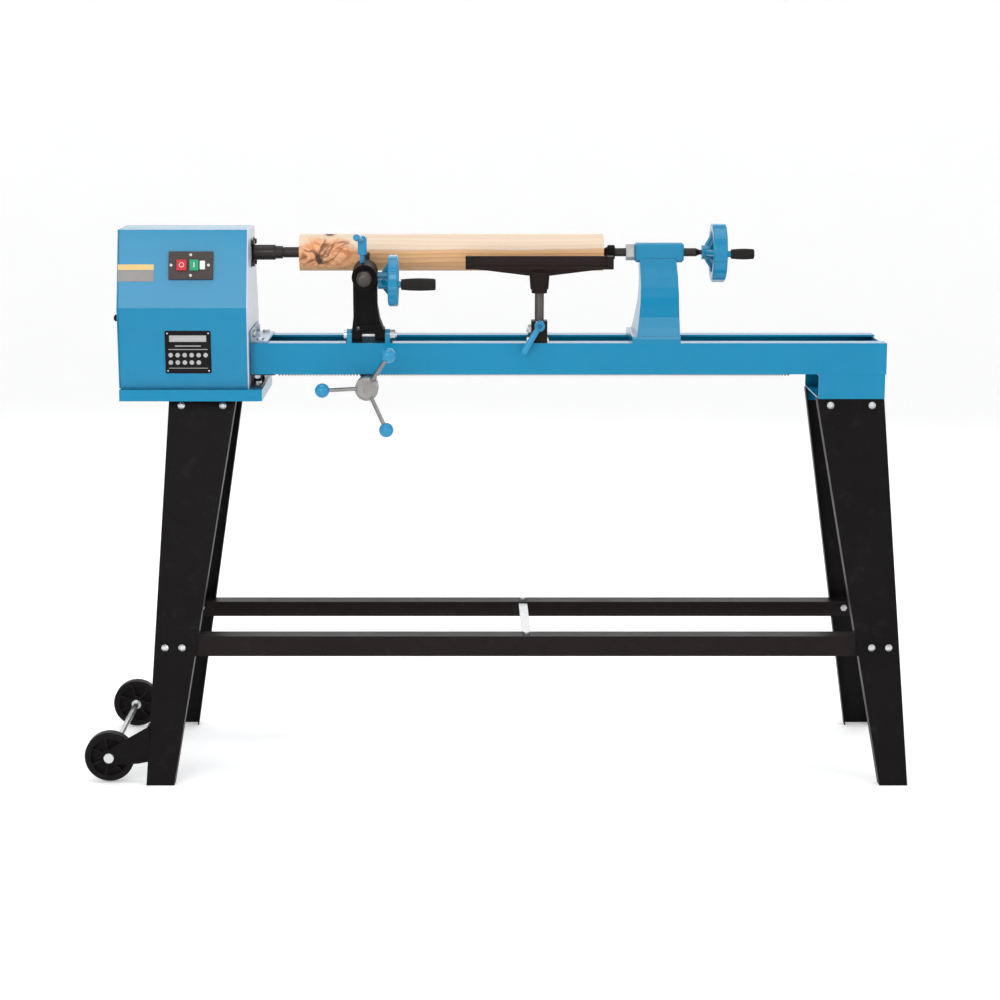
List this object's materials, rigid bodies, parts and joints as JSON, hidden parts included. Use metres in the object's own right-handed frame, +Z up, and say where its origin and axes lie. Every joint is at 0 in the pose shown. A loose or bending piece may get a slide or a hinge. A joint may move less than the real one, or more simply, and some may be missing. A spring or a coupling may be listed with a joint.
{
  "type": "wood lathe",
  "caption": "Wood lathe on a pressed-steel stand, with a sloped headstock, rail bed, rack-fed tool carriage, tool rest, tailstock and transport wheels.",
  "frame": {"origin": "on the floor, at the middle of the machine's outline seen from above", "axes": "+X along the bed from headstock to tailstock, +Y away from the operator, +Z up"},
  "size_m": [1.658, 0.489, 1.1124],
  "materials": {
    "aluminium": "satin",
    "black_casting": "satin",
    "black_paint": "satin",
    "black_plastic": "satin",
    "blue_paint": "gloss",
    "cast_steel": "matte",
    "dark_steel": "satin",
    "green_plastic": "gloss",
    "grey_paint": "satin",
    "pale_blue_paint": "gloss",
    "red_plastic": "gloss",
    "rubber": "matte",
    "steel": "satin",
    "timber": "satin",
    "white_paint": "gloss",
    "zinc": "satin"
  },
  "bodies": {
    "stand": {"leg_front_left": "black_paint", "leg_front_right": "black_paint", "leg_rear_left": "black_paint", "leg_rear_right": "black_paint", "stretcher_front": "black_paint", "stretcher_rear": "black_paint", "stretcher_spacer": "zinc", "stand_bolts": "zinc", "wheel_brackets": "black_paint", "wheel_axle": "zinc", "bed_rail_front": "blue_paint", "bed_rail_rear": "blue_paint", "bed_riser": "blue_paint", "bed_gusset": "blue_paint", "bed_clamp_plate": "pale_blue_paint", "bed_bolts": "zinc", "feed_rack": "dark_steel", "headstock_tray": "blue_paint", "headstock_cover": "blue_paint", "headstock_end_panel": "white_paint", "spindle_frame": "dark_steel", "bearing_cap": "dark_steel", "motor": "grey_paint", "drive_belt": "rubber", "switch_plate": "black_plastic", "cable_gland": "black_plastic"},
    "front_wheel": {"wheel_front": "black_plastic"},
    "rear_wheel": {"wheel_rear": "black_plastic"},
    "door": {"belt_door": "blue_paint", "door_latch": "black_plastic"},
    "spindle": {"spindle": "dark_steel", "spindle_pulley": "aluminium", "drive_centre": "dark_steel", "blank": "timber"},
    "motor_shaft": {"motor_rotor": "aluminium"},
    "stop_key": {"stop_button": "red_plastic"},
    "start_key": {"start_button": "green_plastic"},
    "carriage": {"carriage_saddle": "blue_paint", "arm_pin": "zinc"},
    "capstan": {"feed_shaft": "steel", "capstan": "zinc", "capstan_balls": "blue_paint"},
    "arm": {"tool_arm": "black_casting"},
    "slide_bar": {"tool_bar": "steel"},
    "bar_lever": {"arm_lever": "blue_paint"},
    "arm_wheel": {"arm_handwheel": "blue_paint"},
    "arm_knob": {"arm_grip": "black_plastic"},
    "banjo": {"rest_clamp": "zinc", "rest_banjo": "black_casting"},
    "rest": {"rest_post": "steel", "tool_rest": "black_casting"},
    "rest_lever": {"banjo_lever": "blue_paint"},
    "tailstock": {"tailstock": "blue_paint", "tail_clamp": "zinc"},
    "quill": {"centre_bearing": "dark_steel"},
    "tail_wheel": {"tail_screw": "dark_steel", "tail_handwheel": "blue_paint"},
    "tail_knob": {"tail_grip": "black_plastic"},
    "centre": {"live_centre": "steel"},
    "nut": {"lock_nut": "cast_steel"}
  },
  "joints": [
    {"name": "wheel_front_spin", "type": "hinge", "parent": "stand", "child": "front_wheel", "pos_m": [-0.779, -0.212, 0.0533], "axis": [0, 1, 0], "continuous": true},
    {"name": "wheel_rear_spin", "type": "hinge", "parent": "stand", "child": "rear_wheel", "pos_m": [-0.779, 0.212, 0.0533], "axis": [0, 1, 0], "continuous": true},
    {"name": "belt_door_swing", "type": "hinge", "parent": "stand", "child": "door", "pos_m": [-0.7575, 0.137, 0.93], "axis": [0, 0, -1], "range_deg": [0, 100]},
    {"name": "spindle_spin", "type": "hinge", "parent": "stand", "child": "spindle", "pos_m": [-0.5, 0, 1.053], "axis": [1, 0, 0], "continuous": true},
    {"name": "motor_spin", "type": "hinge", "parent": "stand", "child": "motor_shaft", "pos_m": [-0.7, 0, 0.87], "axis": [1, 0, 0], "continuous": true},
    {"name": "stop_press", "type": "slide", "parent": "stand", "child": "stop_key", "axis": [0, 0.9574, -0.2888], "range_m": [0, 0.003], "stiffness_N_per_m": 400, "springref_m": -0.0005},
    {"name": "start_press", "type": "slide", "parent": "stand", "child": "start_key", "axis": [0, 0.9574, -0.2888], "range_m": [0, 0.003], "stiffness_N_per_m": 400, "springref_m": -0.0005},
    {"name": "carriage_slide", "type": "slide", "parent": "stand", "child": "carriage", "axis": [1, 0, 0], "range_m": [-0.12, 0.02]},
    {"name": "capstan_turn", "type": "hinge", "parent": "carriage", "child": "capstan", "pos_m": [-0.258, 0, 0.7914], "axis": [0, -1, 0], "range_deg": [-380, 80]},
    {"name": "arm_swing", "type": "hinge", "parent": "carriage", "child": "arm", "pos_m": [-0.26, -0.088, 0.894], "axis": [1, 0, 0], "range_deg": [0, 25]},
    {"name": "arm_wheel_turn", "type": "hinge", "parent": "arm", "child": "arm_wheel", "pos_m": [-0.235, -0.11174, 1.00503], "axis": [-1, 0, 0], "range_deg": [-140, 80]},
    {"name": "tool_bar_slide", "type": "slide", "parent": "arm", "child": "slide_bar", "axis": [0, 0.9945, 0.1045], "range_m": [-0.015, 0.0085]},
    {"name": "arm_grip_spin", "type": "hinge", "parent": "arm_wheel", "child": "arm_knob", "pos_m": [-0.2, -0.15351, 1.00064], "axis": [1, 0, 0], "continuous": true},
    {"name": "arm_lever_turn", "type": "hinge", "parent": "arm", "child": "bar_lever", "pos_m": [-0.2655, -0.12184, 1.05334], "axis": [0, -0.1045, 0.9945], "range_deg": [-30, 60]},
    {"name": "banjo_slide", "type": "slide", "parent": "stand", "child": "banjo", "axis": [1, 0, 0], "range_m": [-0.02, 0.06]},
    {"name": "rest_swivel", "type": "hinge", "parent": "banjo", "child": "rest", "pos_m": [0.088, -0.078, 0.95], "axis": [0, 0, 1], "range_deg": [-8, 8]},
    {"name": "rest_lever_turn", "type": "hinge", "parent": "banjo", "child": "rest_lever", "pos_m": [0.088, -0.11, 0.914], "axis": [0, -1, 0], "range_deg": [-30, 60]},
    {"name": "tailstock_slide", "type": "slide", "parent": "stand", "child": "tailstock", "axis": [1, 0, 0], "range_m": [0, 0.28]},
    {"name": "tail_feed", "type": "slide", "parent": "tailstock", "child": "quill", "axis": [1, 0, 0], "range_m": [0, 0.02]},
    {"name": "tail_wheel_turn", "type": "hinge", "parent": "quill", "child": "tail_wheel", "pos_m": [0.42, 0, 1.053], "axis": [1, 0, 0], "range_deg": [0, 2880]},
    {"name": "tail_grip_spin", "type": "hinge", "parent": "tail_wheel", "child": "tail_knob", "pos_m": [0.48, -0.05, 1.053], "axis": [1, 0, 0], "continuous": true},
    {"name": "live_centre_spin", "type": "hinge", "parent": "quill", "child": "centre", "pos_m": [0.23, 0, 1.053], "axis": [1, 0, 0], "continuous": true},
    {"name": "lock_nut_turn", "type": "hinge", "parent": "tailstock", "child": "nut", "pos_m": [0.27, 0, 1.053], "axis": [1, 0, 0], "range_deg": [0, 90]}
  ],
  "couplings": [
    {"joint": "motor_spin", "follows": "spindle_spin", "ratio": 1.2667},
    {"joint": "live_centre_spin", "follows": "spindle_spin", "ratio": 1},
    {"joint": "capstan_turn", "follows": "carriage_slide", "rad_per_m": 52.632},
    {"joint": "tool_bar_slide", "follows": "arm_wheel_turn", "m_per_rad": 0.006},
    {"joint": "tail_feed", "follows": "tail_wheel_turn", "m_per_rad": 0.00039789}
  ]
}
